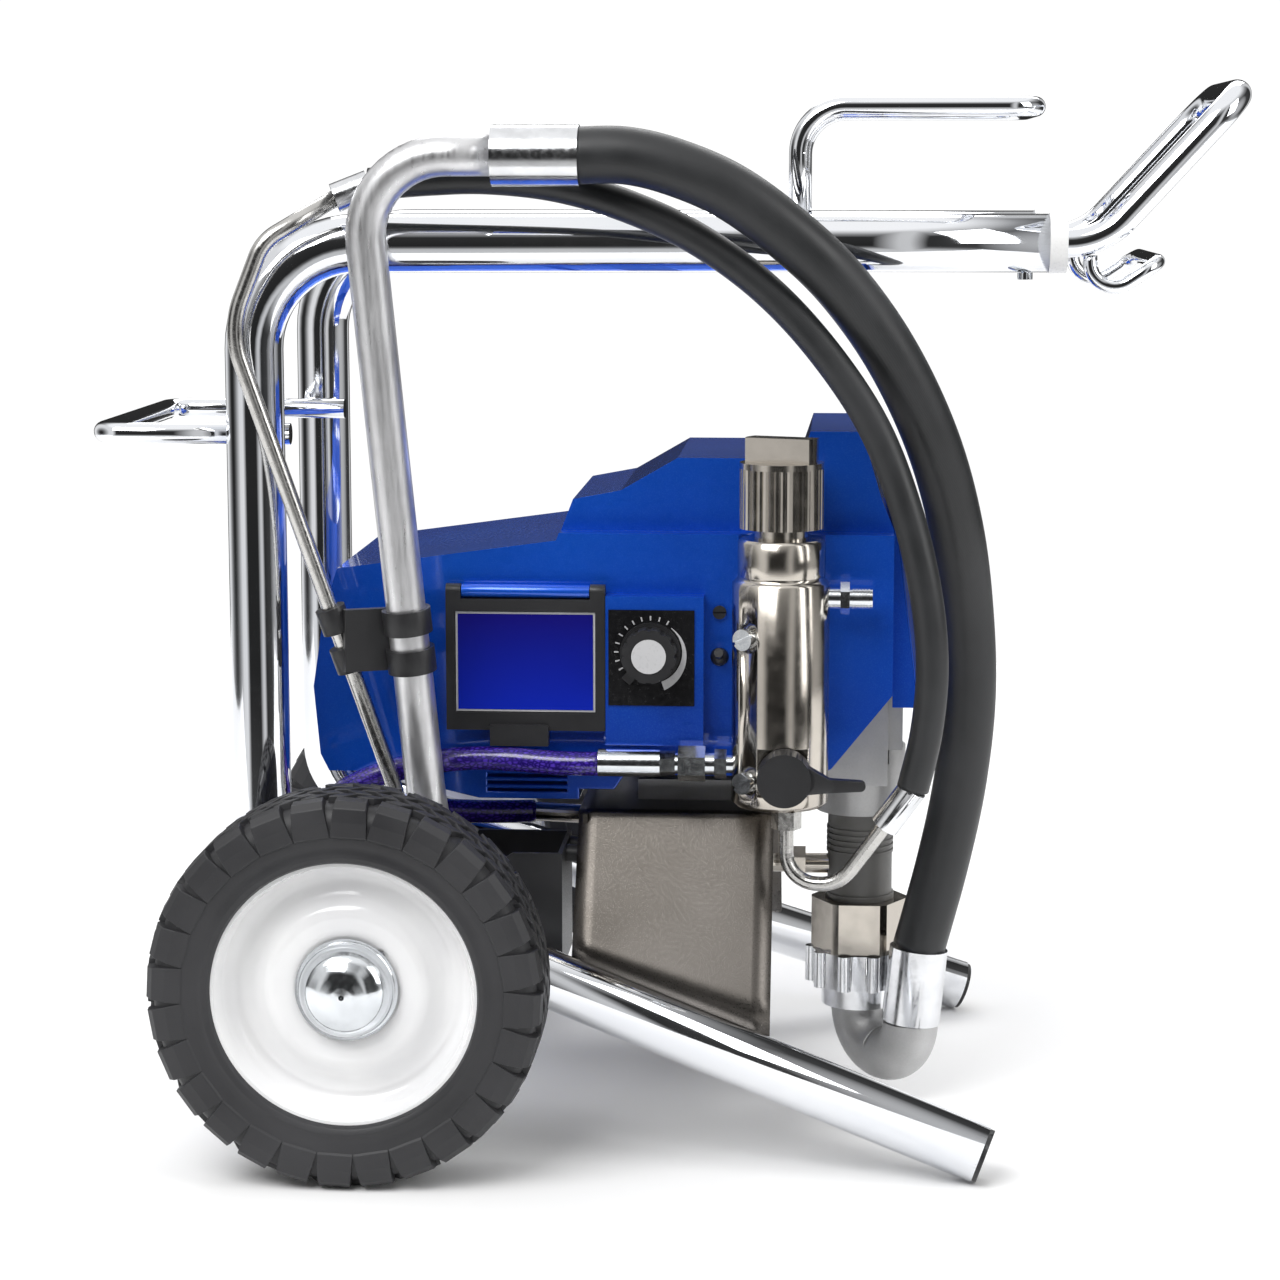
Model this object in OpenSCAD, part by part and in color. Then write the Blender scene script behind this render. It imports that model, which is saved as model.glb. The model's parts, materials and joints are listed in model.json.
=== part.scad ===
/* [Wheels] */
// Outside diameter of the tyres
tyre_d = 254; // [220:1:280]
// Width of a tyre
tyre_w = 70; // [50:1:80]
// Distance from the centre plane to the middle of a wheel
wheel_y = 222; // [210:1:240]
// Diameter of the pressed steel rim
rim_d = 172; // [150:1:190]
// Distance of the axle behind the middle of the cart
axle_back = 193; // [170:1:220]

/* [Frame] */
// Outside diameter of the two bent side tubes
tube_d = 38; // [32:1:42]
// Wall thickness of the side tubes
tube_wall = 2; // [1.5:0.1:3]
// Height of the side tubes' level top run
top_z = 594; // [560:1:640]
// Half the distance between the uprights
upright_y = 131; // [120:1:140]
// Half the distance between the level runs at the handle
rail_y = 80; // [70:1:95]
// Diameter of the rod of the rear rack
rack_d = 14; // [10:1:16]
// Diameter of the rod of the hose rack
hose_rack_d = 13; // [10:1:16]

/* [Handle] */
// Diameter of the telescoping handle
handle_d = 19; // [16:1:24]
// Length of handle hidden in each side tube when it is pushed in
handle_in = 138; // [120:1:139]
// Diameter of the pail hook
hook_d = 9.5; // [6:0.5:12]

/* [Power head] */
// Thickness of the moulded covers
cover_t = 3; // [2:0.5:4]
// Diameter of the filter housing
filter_d = 64; // [56:1:70]
// Diameter of the pump cylinder
pump_d = 45; // [38:1:50]
// Stroke of the pump rod
stroke = 20; // [10:1:22]

/* [Hoses] */
// Outside diameter of the suction hose
suction_hose_d = 36; // [30:1:38]
// Outside diameter of the drain hose
drain_hose_d = 21; // [16:1:22]
// Outside diameter of the pressure hose
pressure_hose_d = 16; // [12:1:18]

/* [Hidden] */
$fn = 64;

axle_x = -axle_back;
axle_z = tyre_d / 2;
axle_d = 16;
axle_tube_d = 25.4;
upright_x = -265;
foot_x = 210.6;
foot_y = 207;
leg_slope = 19.3;
foot_z = tube_d / 2 * cos(leg_slope);
leg_corner_z = foot_z + (foot_x - upright_x) * tan(leg_slope);
rail_end = 250;
rail_start = 106;
bar_sides = 32;
half_length = 381;
leg_path = [[foot_x, foot_y, foot_z], [upright_x, upright_y, leg_corner_z],
    [upright_x, upright_y, top_z], [rail_start, rail_y, top_z], [rail_end, rail_y, top_z]];
leg_point = function(x) let(f = (foot_x - x) / (foot_x - upright_x))
    [x, foot_y + f * (upright_y - foot_y), foot_z + f * (leg_corner_z - foot_z)];

// Routes of the hoses, from the tube on the left to the pump.
suction_route = [[-49, -170, 650], [-20, -170, 650], [10, -169, 643], [45, -166, 628], [80, -159, 603],
    [115, -148, 570], [148, -131, 524], [175, -111, 468], [192, -91, 410], [201, -70, 350],
    [204, -60, 290], [199, -53, 230], [188, -49, 172], [173, -45, 112]];
drain_route = [[-186, -143, 632], [-150, -143, 635], [-110, -143, 636], [-65, -143, 631], [-20, -143, 618],
    [25, -145, 597], [68, -148, 566], [105, -153, 527], [137, -159, 480], [158, -165, 428],
    [171, -168, 376], [176, -166, 328], [173, -161, 284], [165, -156, 246]];
pressure_route = [[-42, -118, 252], [-70, -117, 252], [-100, -112, 253], [-130, -105, 252],
    [-160, -104, 248], [-190, -103, 240], [-214, -97, 228], [-222, -82, 217], [-206, -68, 211],
    [-172, -62, 208], [-130, -54, 205], [-92, -46, 204]];

// Unit vector along v.
function unit(v) = v / norm(v);

// Points of the arc that rounds the corner b between a and c.
function corner(a, b, c, r, n = 9) =
    let(u = unit(a - b), v = unit(c - b), open = acos(u * v), start = b + u * r / tan(open / 2))
    let(centre = b + unit(u + v) * r / sin(open / 2), side = unit(start - centre))
    [for (i = [0:n]) centre + r * (cos(i * (180 - open) / n) * side - sin(i * (180 - open) / n) * u)];

// A path through the points with every inner corner rounded to its own radius.
function rounded(p, r) = [p[0],
    for (i = [1:len(p) - 2]) each corner(p[i - 1], p[i], p[i + 1], r[i - 1]), p[len(p) - 1]];

// A smooth curve through the points, with n steps between each pair.
function smooth(p, n = 3) = let(last = len(p) - 1) [
    for (i = [0:last - 1], k = [0:n - 1]) let(t = k / n, a = p[max(i - 1, 0)], b = p[i])
        let(c = p[i + 1], d = p[min(i + 2, last)])
        0.5 * (2 * b + (c - a) * t + (2 * a - 5 * b + 4 * c - d) * t ^ 2
            + (3 * b - a - 3 * c + d) * t ^ 3),
    p[last]];

// Directions along a path, and the side vectors that keep a swept ring from twisting.
function headings(p) = [for (i = [0:len(p) - 1])
    unit(p[min(i + 1, len(p) - 1)] - p[max(i - 1, 0)])];
function sides(h, i, s) = i == len(h) ? [] :
    let(n = unit(s - (s * h[i]) * h[i])) concat([n], sides(h, i + 1, n));

// A round bar of diameter d swept along a path.
module bar(path, d, n = bar_sides) {
    h = headings(path);
    first = abs(h[0].z) < 0.9 ? [0, 0, 1] : [1, 0, 0];
    s = sides(h, 0, first);
    rings = len(path);
    points = [for (i = [0:rings - 1], k = [0:n - 1]) let(a = 360 * (k + 0.5) / n)
        path[i] + d / 2 * (cos(a) * s[i] + sin(a) * cross(h[i], s[i]))];
    walls = [for (i = [0:rings - 2], k = [0:n - 1]) let(j = (k + 1) % n)
        each [[i * n + k, (i + 1) * n + j, i * n + j], [i * n + k, (i + 1) * n + k, (i + 1) * n + j]]];
    low = [for (k = [0:n - 1]) k];
    high = [for (k = [n - 1:-1:0]) (rings - 1) * n + k];
    polyhedron(points, concat(walls, [low, high]), convexity = 6);
}

// A cylinder from p to q.
module rod(p, q, d, d2 = undef) {
    v = q - p;
    translate(p) rotate([0, acos(v.z / norm(v)), atan2(v.y, v.x)])
        cylinder(h = norm(v), d1 = d, d2 = is_undef(d2) ? d : d2);
}

// A cylinder or ring lying along +Y from y0 to y1, centred at x, z.
module along_y(x, z, y0, y1, d, bore = 0, fn = 64) {
    translate([x, y1, z]) rotate([90, 0, 0]) difference() {
        cylinder(h = y1 - y0, d = d, $fn = fn);
        if (bore > 0) translate([0, 0, -1]) cylinder(h = y1 - y0 + 2, d = bore);
    }
}

// A cylinder or ring lying along +X.
module along_x(y, z, x0, x1, d, bore = 0, fn = 64) {
    translate([x0, y, z]) rotate([0, 90, 0]) difference() {
        cylinder(h = x1 - x0, d = d, $fn = fn);
        if (bore > 0) translate([0, 0, -1]) cylinder(h = x1 - x0 + 2, d = bore);
    }
}

// A cylinder or ring standing on z0.
module upright(x, y, z0, z1, d, bore = 0, fn = 64) {
    translate([x, y, z0]) difference() {
        cylinder(h = z1 - z0, d = d, $fn = fn);
        if (bore > 0) translate([0, 0, -1]) cylinder(h = z1 - z0 + 2, d = bore);
    }
}

// A plate with an outline in X and Z, from y0 to y1.
module plate_y(points, y0, y1) {
    translate([0, y1, 0]) rotate([90, 0, 0]) linear_extrude(y1 - y0) polygon(points);
}

// A block between two corners.
module block(low, high) {
    translate(low) cube(high - low);
}

// ---- Cart ----

module side_tube() {
    color([0.8, 0.82, 0.85]) difference() {
        bar(rounded(leg_path, [45, 68, 160]), tube_d, 36);
        along_x(rail_y, top_z, rail_start + 4, rail_end + 1, tube_d - 2 * tube_wall);
        foot_bore();
        upright(235, rail_y, top_z - tube_d / 2 - 2, top_z, 5.4);
    }
}

// The open end of the leg, which takes the foot plug.
module foot_bore() {
    f = leg_path[0];
    d = unit(leg_path[1] - f);
    rod(f - d, f + 25 * d, tube_d - 2 * tube_wall);
}

module far_side() {
    children();
}

module near_side() {
    mirror([0, 1, 0]) children();
}

module side_tube_near() {
    near_side() side_tube();
}

module side_tube_far() {
    far_side() side_tube();
}

// The plug lies in the leg's end and caps it.
module foot_plug() {
    f = leg_path[0];
    d = unit(leg_path[1] - f);
    rod(f + 0.2 * d, f + 20 * d, tube_d - 2 * tube_wall - 0.4);
    rod(f - 3 * d, f - 0.01 * d, tube_d - 3);
}

module foot_plugs() {
    color([0.05, 0.05, 0.05]) {
        near_side() foot_plug();
        far_side() foot_plug();
    }
}

// One cross tube carries the two stub axles and ties the legs together.
module axle() {
    half_tube = wheel_y - tyre_w / 2 - 12;
    stub_end = wheel_y + tyre_w / 2 - 12;
    color([0.72, 0.74, 0.76]) difference() {
        union() {
            along_y(axle_x, axle_z, -half_tube, half_tube, axle_tube_d);
            along_y(axle_x, axle_z, -stub_end, stub_end, axle_d);
        }
        near_side() side_tube_cut();
        side_tube_cut();
    }
}

// Room for the leg where the cross tube is coped to it.
module side_tube_cut() {
    rod(leg_point(axle_x - 60), leg_point(axle_x + 60), tube_d + 0.1);
}

// A U of rod standing off the uprights, for coiling a mains lead.
module rear_rack() {
    y = 109;
    z = 469;
    x = -half_length + rack_d / 2;
    color([0.8, 0.82, 0.85]) difference() {
        bar(rounded([[upright_x, -y, z], [x, -y, z], [x, y, z], [upright_x, y, z]], [16, 16]), rack_d, 24);
        for (s = [-1, 1]) upright(upright_x, s * upright_y, z - 20, z + 20, tube_d + 0.1);
    }
}

// A U of rod over the level runs, for hanging the spray hose.
module hose_rack() {
    foot = [87, rail_y, top_z + tube_d / 2 + 0.1];
    z = 682;
    x = 241;
    y = rail_y;
    color([0.8, 0.82, 0.85])
        bar(rounded([[87, -y, foot.z], [87, -y, z], [x, -y, z], [x, y, z], [87, y, z], [87, y, foot.z]],
            [30, 20, 20, 30]), hose_rack_d, 24);
}

// A folded sheet welded across the legs: a level deck for the power head and two flared flanks.
module saddle() {
    t = 3;
    x0 = -57;
    x1 = 74;
    deck_z = 216;
    deck_y = 96;
    rear = leg_point(x0);
    front = leg_point(x1);
    lift = tube_d / 2 - 1;
    color([0.42, 0.41, 0.4]) {
        difference() {
            block([x0, -deck_y, deck_z - t], [x1, deck_y, deck_z]);
            for (x = [x0 + 25, x1 - 25], y = [-60, 60]) upright(x, y, deck_z - 10, deck_z + 10, 8.4);
        }
        for (s = [-1, 1]) hull() {
            translate([x0, s * deck_y, deck_z - t]) block([0, -t / 2, 0], [x1 - x0, t / 2, t]);
            translate([x0, s * (rear.y - 10), rear.z + lift]) block([0, -t / 2, 0], [1, t / 2, 1]);
            translate([x1 - 1, s * (front.y - 10), front.z + lift]) block([0, -t / 2, 0], [1, t / 2, 1]);
        }
        difference() {
            block([x0, -100, deck_z - 44], [x0 + t, 100, deck_z - t]);
            along_x(-42, 204, x0 - 1, x0 + t + 1, 30);
        }
    }
}

// White bushes that guide the handle in the ends of the side tubes.
module collars() {
    color("white") for (s = [-1, 1]) {
        along_x(s * rail_y, top_z, rail_end + 0.02, rail_end + 11.5, tube_d + 1, handle_d + 0.16);
        along_x(s * rail_y, top_z, rail_end - 30, rail_end + 0.02, tube_d - 2 * tube_wall - 0.1, handle_d + 0.16);
    }
}

// Round-headed screws below the tubes hold the bushes.
module stop_screws() {
    z = top_z - tube_d / 2;
    color([0.75, 0.75, 0.75]) for (s = [-1, 1]) {
        upright(235, s * rail_y, z - 0.2, z + 6, 5);
        difference() {
            upright(235, s * rail_y, z - 4.6, z - 0.2, 10);
            block([229, s * rail_y - 0.6, z - 6], [241, s * rail_y + 0.6, z - 3.2]);
        }
    }
}

// The U handle: two legs in the side tubes, a rise and a grip.
module handle() {
    back = rail_end - handle_in;
    knee = [284, rail_y, top_z];
    tip = [half_length - handle_d / 2, 0, 690];
    color([0.8, 0.82, 0.85]) {
        bar(rounded([[back, -rail_y, top_z], [knee.x, -rail_y, top_z], [tip.x, -rail_y, tip.z],
            [tip.x, rail_y, tip.z], [knee.x, rail_y, top_z], [back, rail_y, top_z]],
            [50, 26, 26, 50]), handle_d, 32);
    }
}

// A rod U welded below the handle, where a pail hangs.
module pail_hook() {
    low = 552;
    x = 277;
    z = top_z - handle_d / 2;
    color([0.8, 0.82, 0.85]) difference() {
        bar(rounded([[x, -rail_y, z + 4], [x, -rail_y, low], [322, -rail_y, 582],
            [322, rail_y, 582], [x, rail_y, low], [x, rail_y, z + 4]],
            [16, 14, 14, 16]), hook_d, 20);
        for (s = [-1, 1]) along_x(s * rail_y, top_z, 250, 300, handle_d + 0.1);
    }
}

// ---- Wheels, made on the near side and mirrored ----

wheel_in = -wheel_y + tyre_w / 2;
wheel_out = -wheel_y - tyre_w / 2;

// Block tread around a rounded carcass.
module tyre() {
    blocks = 30;
    r = tyre_d / 2;
    color([0.09, 0.09, 0.1]) translate([axle_x, -wheel_y, axle_z]) rotate([90, 0, 0]) {
        rotate_extrude($fn = 120) polygon([[rim_d / 2, -28], [rim_d / 2 + 8, -33], [r - 22, -35],
            [r - 8, -31], [r - 3, -20], [r - 3, 20], [r - 8, 31], [r - 22, 35],
            [rim_d / 2 + 8, 33], [rim_d / 2, 28]]);
        for (i = [0:blocks - 1]) rotate(i * 360 / blocks) {
            translate([r - 6.3, -8, -11]) cube([6, 16, 22]);
            for (s = [-1, 1]) rotate(s * 3) translate([r - 8, -8, s > 0 ? 13 : -25]) cube([6.5, 13, 12]);
        }
    }
}

// A dished steel disc with a hub barrel for the bearing.
module rim() {
    color([0.93, 0.93, 0.93]) translate([axle_x, -wheel_y, axle_z]) rotate([90, 0, 0]) difference() {
        rotate_extrude($fn = 120) polygon([[17, -30], [20, -30], [20, 5], [36, 12], [50, 13], [62, 4],
            [72, 2], [rim_d / 2 - 7, 8], [rim_d / 2 - 3, 27.5], [rim_d / 2, 27.5], [rim_d / 2, -28],
            [rim_d / 2 - 3, -28], [rim_d / 2 - 9, 2], [73, -1.5], [61, 0.5], [49, 9.5],
            [37, 8.5], [23, 2], [23, -33], [17, -33]]);
        for (a = [45, 225]) rotate(a) translate([31, 0, 0]) cylinder(h = 40, d = 5, center = true, $fn = 32);
    }
}

// A plain bush pressed in the hub turns on the axle.
module bearing() {
    color([0.55, 0.5, 0.42])
        along_y(axle_x, axle_z, -wheel_y - 2, -wheel_y + 33, 34, axle_d + 0.12);
}

// A domed cap over the axle's end.
module hub_cap() {
    color([0.85, 0.87, 0.9]) translate([axle_x, -wheel_y, axle_z]) rotate([90, 0, 0])
        rotate_extrude($fn = 96) polygon([[24, 13.2], [33, 13.2], [33, 15], [31, 15.4], [29, 22],
            [24, 28], [16, 32.5], [8, 34.5], [0, 35], [0, 32], [8, 31.5], [15, 29.6], [22, 25.5],
            [26, 21], [24, 15]]);
}

module tyre_near() { tyre(); }
module rim_near() { rim(); }
module bearing_near() { bearing(); }
module hub_cap_near() { hub_cap(); }
module tyre_far() { near_side() tyre(); }
module rim_far() { near_side() rim(); }
module bearing_far() { near_side() bearing(); }
module hub_cap_far() { near_side() hub_cap(); }

// ---- Power head ----

head_y = 95;
deck = 216;
gear_y = -50;
motor_x = -62;
motor_z = 320;
crank_x = 132;
crank_z = 330;

// Outline of the main cover from the side.
cover_outline = [[-226, 240], [-232, 252], [-236, 298], [-228, 350], [-219, 378], [-72, 398], [-62, 424],
    [-30, 430], [8, 452], [90, 452], [96, 470], [130, 470], [144, 424], [152, 405], [152, 296],
    [112, 246], [100, 240]];

// The main cover: a hollow moulding, open below, with a stepped back and chamfered sides.
module shroud() {
    color([0.02, 0.12, 0.62]) difference() {
        union() {
            translate([0, head_y - 16, 0]) rotate([90, 0, 0]) linear_extrude(2 * head_y - 32)
                polygon(cover_outline);
            intersection() {
                translate([0, head_y, 0]) rotate([90, 0, 0]) linear_extrude(2 * head_y)
                    polygon(cover_outline);
                block([-240, -head_y, 236], [154, head_y, 403]);
            }
        }
        translate([0, head_y - cover_t, 0]) rotate([90, 0, 0]) linear_extrude(2 * head_y - 2 * cover_t)
            polygon(inner_outline);
        translate([0, head_y - 16 - cover_t, 0]) rotate([90, 0, 0])
            linear_extrude(2 * head_y - 32 - 2 * cover_t) polygon(inner_top);
        block([-300, -200, 100], [300, 200, 240.5]);
        block([-140, -head_y - 1, 274], [-42, -head_y + 4, 356]);
        filter_recess();
        block([100, -62, 230], [160, 62, 398]);
        for (z = [351, 321]) along_y(37, z, -head_y - 2, -head_y + 6, z > 330 ? 4.2 : 12.4);
        rear_louvres();
    }
}

inner_outline = [[-223, 230], [-229, 253], [-233, 298], [-225, 349], [-217, 375], [-70, 395],
    [-66, 400], [149, 400], [149, 298], [111, 250], [99, 230]];
inner_top = [[-66, 399.9], [-59, 421], [-29, 427], [9, 449], [93, 449], [98, 467], [128, 467],
    [141, 423], [148, 404], [148, 399.9]];

// Space for the upright filter housing beside the cover.
module filter_recess() {
    upright(78, -115, 200, 404, filter_d + 6);
}

// Cooling slots in the back wall.
module rear_louvres() {
    for (z = [262:10:332]) block([-240, -55, z], [-224, 55, z + 4]);
}

// The faceted nose cover over the gearbox.
module front_cover() {
    color([0.02, 0.12, 0.62]) difference() {
        hull() {
            block([152.2, -78, 300], [153, 78, 418]);
            block([166, -62, 300], [169, 62, 340]);
            block([158, -62, 392], [160, 62, 400]);
            block([152.2, -78, 285], [168, 78, 300]);
        }
        hull() {
            block([151, -75, 303], [152, 75, 415]);
            block([160, -59, 303], [166, 59, 340]);
            block([150, -59, 392], [156, 59, 397]);
            block([151, -75, 284], [165, 75, 300]);
        }
    }
}

// Lower cover below the motor, with cooling slots on each side.
module motor_cover() {
    color([0.02, 0.1, 0.5]) difference() {
        plate_y([[-208, 240], [-126, 221], [-57.5, 221], [-57.5, 228], [-34, 228], [-26, 240]], -86, 86);
        plate_y([[-204, 241], [-125, 224], [-60, 224], [-60, 231], [-36, 231], [-31, 241]], -83, 83);
        for (z = [226:5:236], s = [-1, 1])
            block([-120, s > 0 ? 80 : -90, z], [-66, s > 0 ? 90 : -80, z + 2]);
    }
}

// Cast gearbox housing, bolted to the saddle's deck.
module gearbox() {
    color([0.62, 0.63, 0.64]) difference() {
        union() {
            block([-20, -58, deck + 0.02], [108, 58, deck + 14]);
            block([60, -52, deck + 10], [150, 52, 300]);
            along_x(0, motor_z, 40, 62, 120);
            along_x(0, crank_z, 61, 150, 116);
            upright(crank_x, 0, 200, deck + 30, 62);
        }
        block([66, -46, deck + 20], [151, 46, 296]);
        along_x(0, crank_z, 66, 151, 108);
        along_x(0, motor_z, 30, 70, 17.2);
        upright(crank_x, 0, 190, 250, pump_d + 0.04);
        upright(49, 0, 210, 240, 8.4);
    }
}

// Front casting that closes the gearbox and carries the crank.
module gearbox_front() {
    color([0.66, 0.67, 0.68]) difference() {
        plate_x([[-46, 250], [46, 250], [46, 320], [36, 372], [-36, 372], [-46, 320]], 150.05, 160);
        along_x(0, crank_z, 140, 156, 20.1);
    }
}

// A plate with an outline in Y and Z, from x0 to x1.
module plate_x(points, x0, x1) {
    translate([x0, 0, 0]) rotate([90, 0, 90]) linear_extrude(x1 - x0) polygon(points);
}

// Motor case and its magnets, a plain barrel inside the cover.
module motor_stator() {
    color([0.3, 0.3, 0.32]) {
        along_x(0, motor_z, -160, 39.9, 124, 104);
        difference() {
            along_x(0, motor_z, -166, -160, 124);
            along_x(0, motor_z, -170, -150, 17.2);
        }
    }
}

// Armature, shaft, pinion and cooling fan, turning as one.
module motor_rotor() {
    color([0.7, 0.45, 0.25]) {
        along_x(0, motor_z, -150, 30, 98);
        along_x(0, motor_z, -190, 80, 17);
        difference() {
            along_x(0, motor_z, 80, 94, 22);
            for (i = [0:9]) translate([0, 0, motor_z]) rotate([i * 36, 0, 0])
                block([79, -1.4, 9], [95, 1.4, 12]);
        }
        for (i = [0:8]) translate([-184, 0, motor_z]) rotate([i * 40, 0, 0])
            block([0, -1.2, 8], [16, 1.2, 50]);
    }
}

// Crank wheel with the offset pin that drives the connecting rod.
module crank_gear() {
    color([0.55, 0.55, 0.57]) {
        along_x(0, crank_z, 98, 106, 84);
        along_x(0, crank_z, 106, 112, 40);
        along_x(0, crank_z + stroke / 2, 112, 120, 14);
        along_x(0, crank_z, 140, 155.9, 20);
    }
}

// Connecting rod, hung on the pump rod; its eye faces the crank pin with a working gap.
module connecting_rod() {
    z = crank_z + stroke / 2;
    color([0.6, 0.6, 0.6]) {
        along_x(0, z, 120.5, 139.5, 36, 15);
        block([124, -9, z - 60], [138, 9, z - 17]);
        upright(crank_x, 0, z - 76, z - 59, 26);
    }
}

// ---- Controls ----

panel_y = -head_y - 12;
cover_hinge_z = 365;

// Moulded face that stands off the cover and carries the display door and the dial.
module display_panel() {
    color([0.03, 0.15, 0.66]) difference() {
        union() {
            block([-143, -head_y - 8, 270], [-38, -head_y - 0.02, 359.5]);
            block([-38, -head_y - 14, 263], [27, -head_y - 0.02, 363]);
            along_x(-head_y - 8, cover_hinge_z, -134, -49, 9);
            block([-134, -head_y - 8, cover_hinge_z - 4.4], [-49, -head_y - 0.02, cover_hinge_z]);
        }
        block([-136, -head_y - 9, 278], [-46, -head_y - 3, 352]);
        along_y(-8, 326, -head_y - 15, -head_y + 1, 8.4);
        along_x(-head_y - 8, cover_hinge_z, -150, -30, 4.1);
    }
}

// The black framed door over the display, hung from two knuckles, with a pull tab.
module display_cover() {
    y = -head_y - 8;
    color([0.08, 0.08, 0.08]) difference() {
        union() {
            block([-144.5, y - 5, 272], [-38.4, y - 0.3, cover_hinge_z - 4.9]);
            for (x = [-144.5, -48.4]) {
                along_x(y, cover_hinge_z, x, x + 10, 10);
                block([x, y - 5, 350], [x + 10, y - 0.3, cover_hinge_z]);
            }
            block([-115, y - 9, 262], [-76, y - 0.3, 276]);
            along_x(y, cover_hinge_z, -144.5, -38.4, 4);
        }
        block([-138.5, y - 6, 284], [-44.6, y - 3, 352]);
    }
}

// The printed plate around the dial.
module control_panel() {
    color([0.05, 0.05, 0.05]) difference() {
        block([-36, -head_y - 15.2, 290], [21, -head_y - 14.02, 354]);
        along_y(-8, 326, -head_y - 20, -head_y, 8.4);
    }
}

// Grip knob on the shaft of the pressure control.
module pressure_knob() {
    y = -head_y - 15.6;
    color([0.06, 0.06, 0.06]) {
        along_y(-8, 326, y + 0.02, -head_y - 0.5, 8.2);
        difference() {
            union() {
                along_y(-8, 326, y - 5, y, 40);
                along_y(-8, 326, y - 20, y - 4.9, 36);
            }
            for (i = [0:11]) translate([-8, 0, 326]) rotate([0, i * 30, 0])
                translate([19.2, 0, 0]) along_y(0, 0, y - 21, y - 6, 5, 0, 24);
            along_y(-8, 326, y - 21, y - 19.4, 24);
        }
        translate([-8, 0, 326]) rotate([0, -50, 0]) block([-25, y - 5, -3.5], [-17, y - 0.02, 3.5]);
    }
}

// Toggle of the power switch.
module power_switch() {
    color([0.05, 0.05, 0.05]) {
        translate([37, -head_y, 321]) sphere(d = 12);
        along_x(-head_y, 321, 31.2, 42.8, 3);
        rod([37, -head_y, 321], [37, -head_y - 15, 326], 5, 6);
    }
}

// Slotted screws that hold the covers, each with its head outside the wall.
module cover_screws() {
    color([0.06, 0.06, 0.06]) {
        difference() {
            along_y(37, 351, -head_y - 2.5, -head_y - 0.02, 9);
            block([32, -head_y - 3, 350.5], [42, -head_y - 1.2, 351.5]);
        }
        along_y(37, 351, -head_y - 0.03, -head_y + 9, 4);
    }
}

// ---- Filter housing and valve ----

filter_x = 78;
filter_y = -115;
filter_low = 226;
filter_top = 403;

// Nickel-plated housing: a barrel with a slimmer neck and a flat for the drain valve.
module filter_housing() {
    valve_z = 252;
    color([0.62, 0.58, 0.53]) difference() {
        union() {
            translate([filter_x, filter_y, 0]) rotate_extrude($fn = 96) polygon([[0, filter_low],
                [filter_d / 2 - 3, filter_low], [filter_d / 2, filter_low + 3], [filter_d / 2, 374],
                [filter_d / 2 - 4, 378], [28.5, 379], [28.5, 401], [26.5, filter_top], [0, filter_top]]);
        }
        upright(filter_x, filter_y, filter_low + 12, filter_top + 1, 44);
        block([filter_x - 14, -160, 236], [filter_x + 22, filter_y - filter_d / 2 + 6, 268]);
        along_y(filter_x + 4, valve_z, -150, filter_y, 16.1);
        along_x(filter_y, 254, filter_x - 40, filter_x - 20, 14.1);
        along_x(filter_y, 364, filter_x + 20, filter_x + 40, 14.1);
        for (z = [245, 340]) bolt_shape(z, 0.1);
        upright(filter_x + 5, filter_y - 20, filter_low - 1, filter_low + 13, 10);
    }
}

// Slotted bolts through the housing's shoulder into the gearbox side.
module bolt_shape(z, gap) {
    translate([filter_x - 22, filter_y - 26, z]) rotate([90, 0, -30])
        translate([0, 0, -6 - gap]) cylinder(h = 20, d = 14 + 2 * gap, $fn = 32);
}

module housing_bolts() {
    color([0.8, 0.8, 0.82]) for (z = [245, 340]) difference() {
        translate([filter_x - 22, filter_y - 26, z]) rotate([90, 0, -30]) translate([0, 0, -6])
            cylinder(h = 11, d = 14, $fn = 48);
        translate([filter_x - 22, filter_y - 26, z]) rotate([90, 0, -30]) rotate(25)
            translate([-8, -1, 3]) cube([16, 2, 3]);
    }
}

// Knurled cap with a flat grip, screwed in the neck.
module filter_cap() {
    flutes = 40;
    color([0.66, 0.62, 0.56]) {
        upright(filter_x, filter_y, filter_top - 25, filter_top + 0.02, 43.8, 30);
        upright(filter_x, filter_y, filter_top + 0.02, 410.2, 36);
        difference() {
            upright(filter_x, filter_y, 410, 453, 55, 0, 96);
            for (i = [0:flutes - 1]) translate([filter_x, filter_y, 0]) rotate(i * 360 / flutes)
                translate([28.3, 0, 0]) upright(0, 0, 409, 449, 3.2, 0, 6);
        }
        translate([filter_x, filter_y, 0]) rotate(-20) intersection() {
            upright(0, 0, 452.9, 469, 48);
            block([-30, -9, 450], [30, 9, 470]);
        }
    }
}

// The pleated filter inside the housing.
module filter_element() {
    color([0.85, 0.8, 0.3]) upright(filter_x, filter_y, filter_low + 12.1, filter_top - 25.1, 30, 16);
}

// Threaded outlet for the spray hose.
module outlet_fitting() {
    color([0.8, 0.82, 0.84]) difference() {
        union() {
            along_x(filter_y, 364, filter_x + 23, 117, 14);
            along_x(filter_y, 364, 117, 123, 21.5, 0, 6);
            along_x(filter_y, 364, 123, 138, 13.4);
            for (x = [125:2:136]) along_x(filter_y, 364, x, x + 1, 14.4);
        }
        along_x(filter_y, 364, 100, 140, 6);
    }
}

// Drain valve body: a plug in the housing's flat with the stem that the handle turns.
module drain_valve() {
    x = filter_x + 4;
    y = filter_y - filter_d / 2 + 6;
    color([0.6, 0.57, 0.5]) {
        along_y(x, 252, y + 0.02, y + 9, 16);
        along_y(x, 252, y - 7, y + 0.02, 26, 0, 48);
        along_y(x, 252, y - 14, y - 6.9, 9.8);
    }
}

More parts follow.
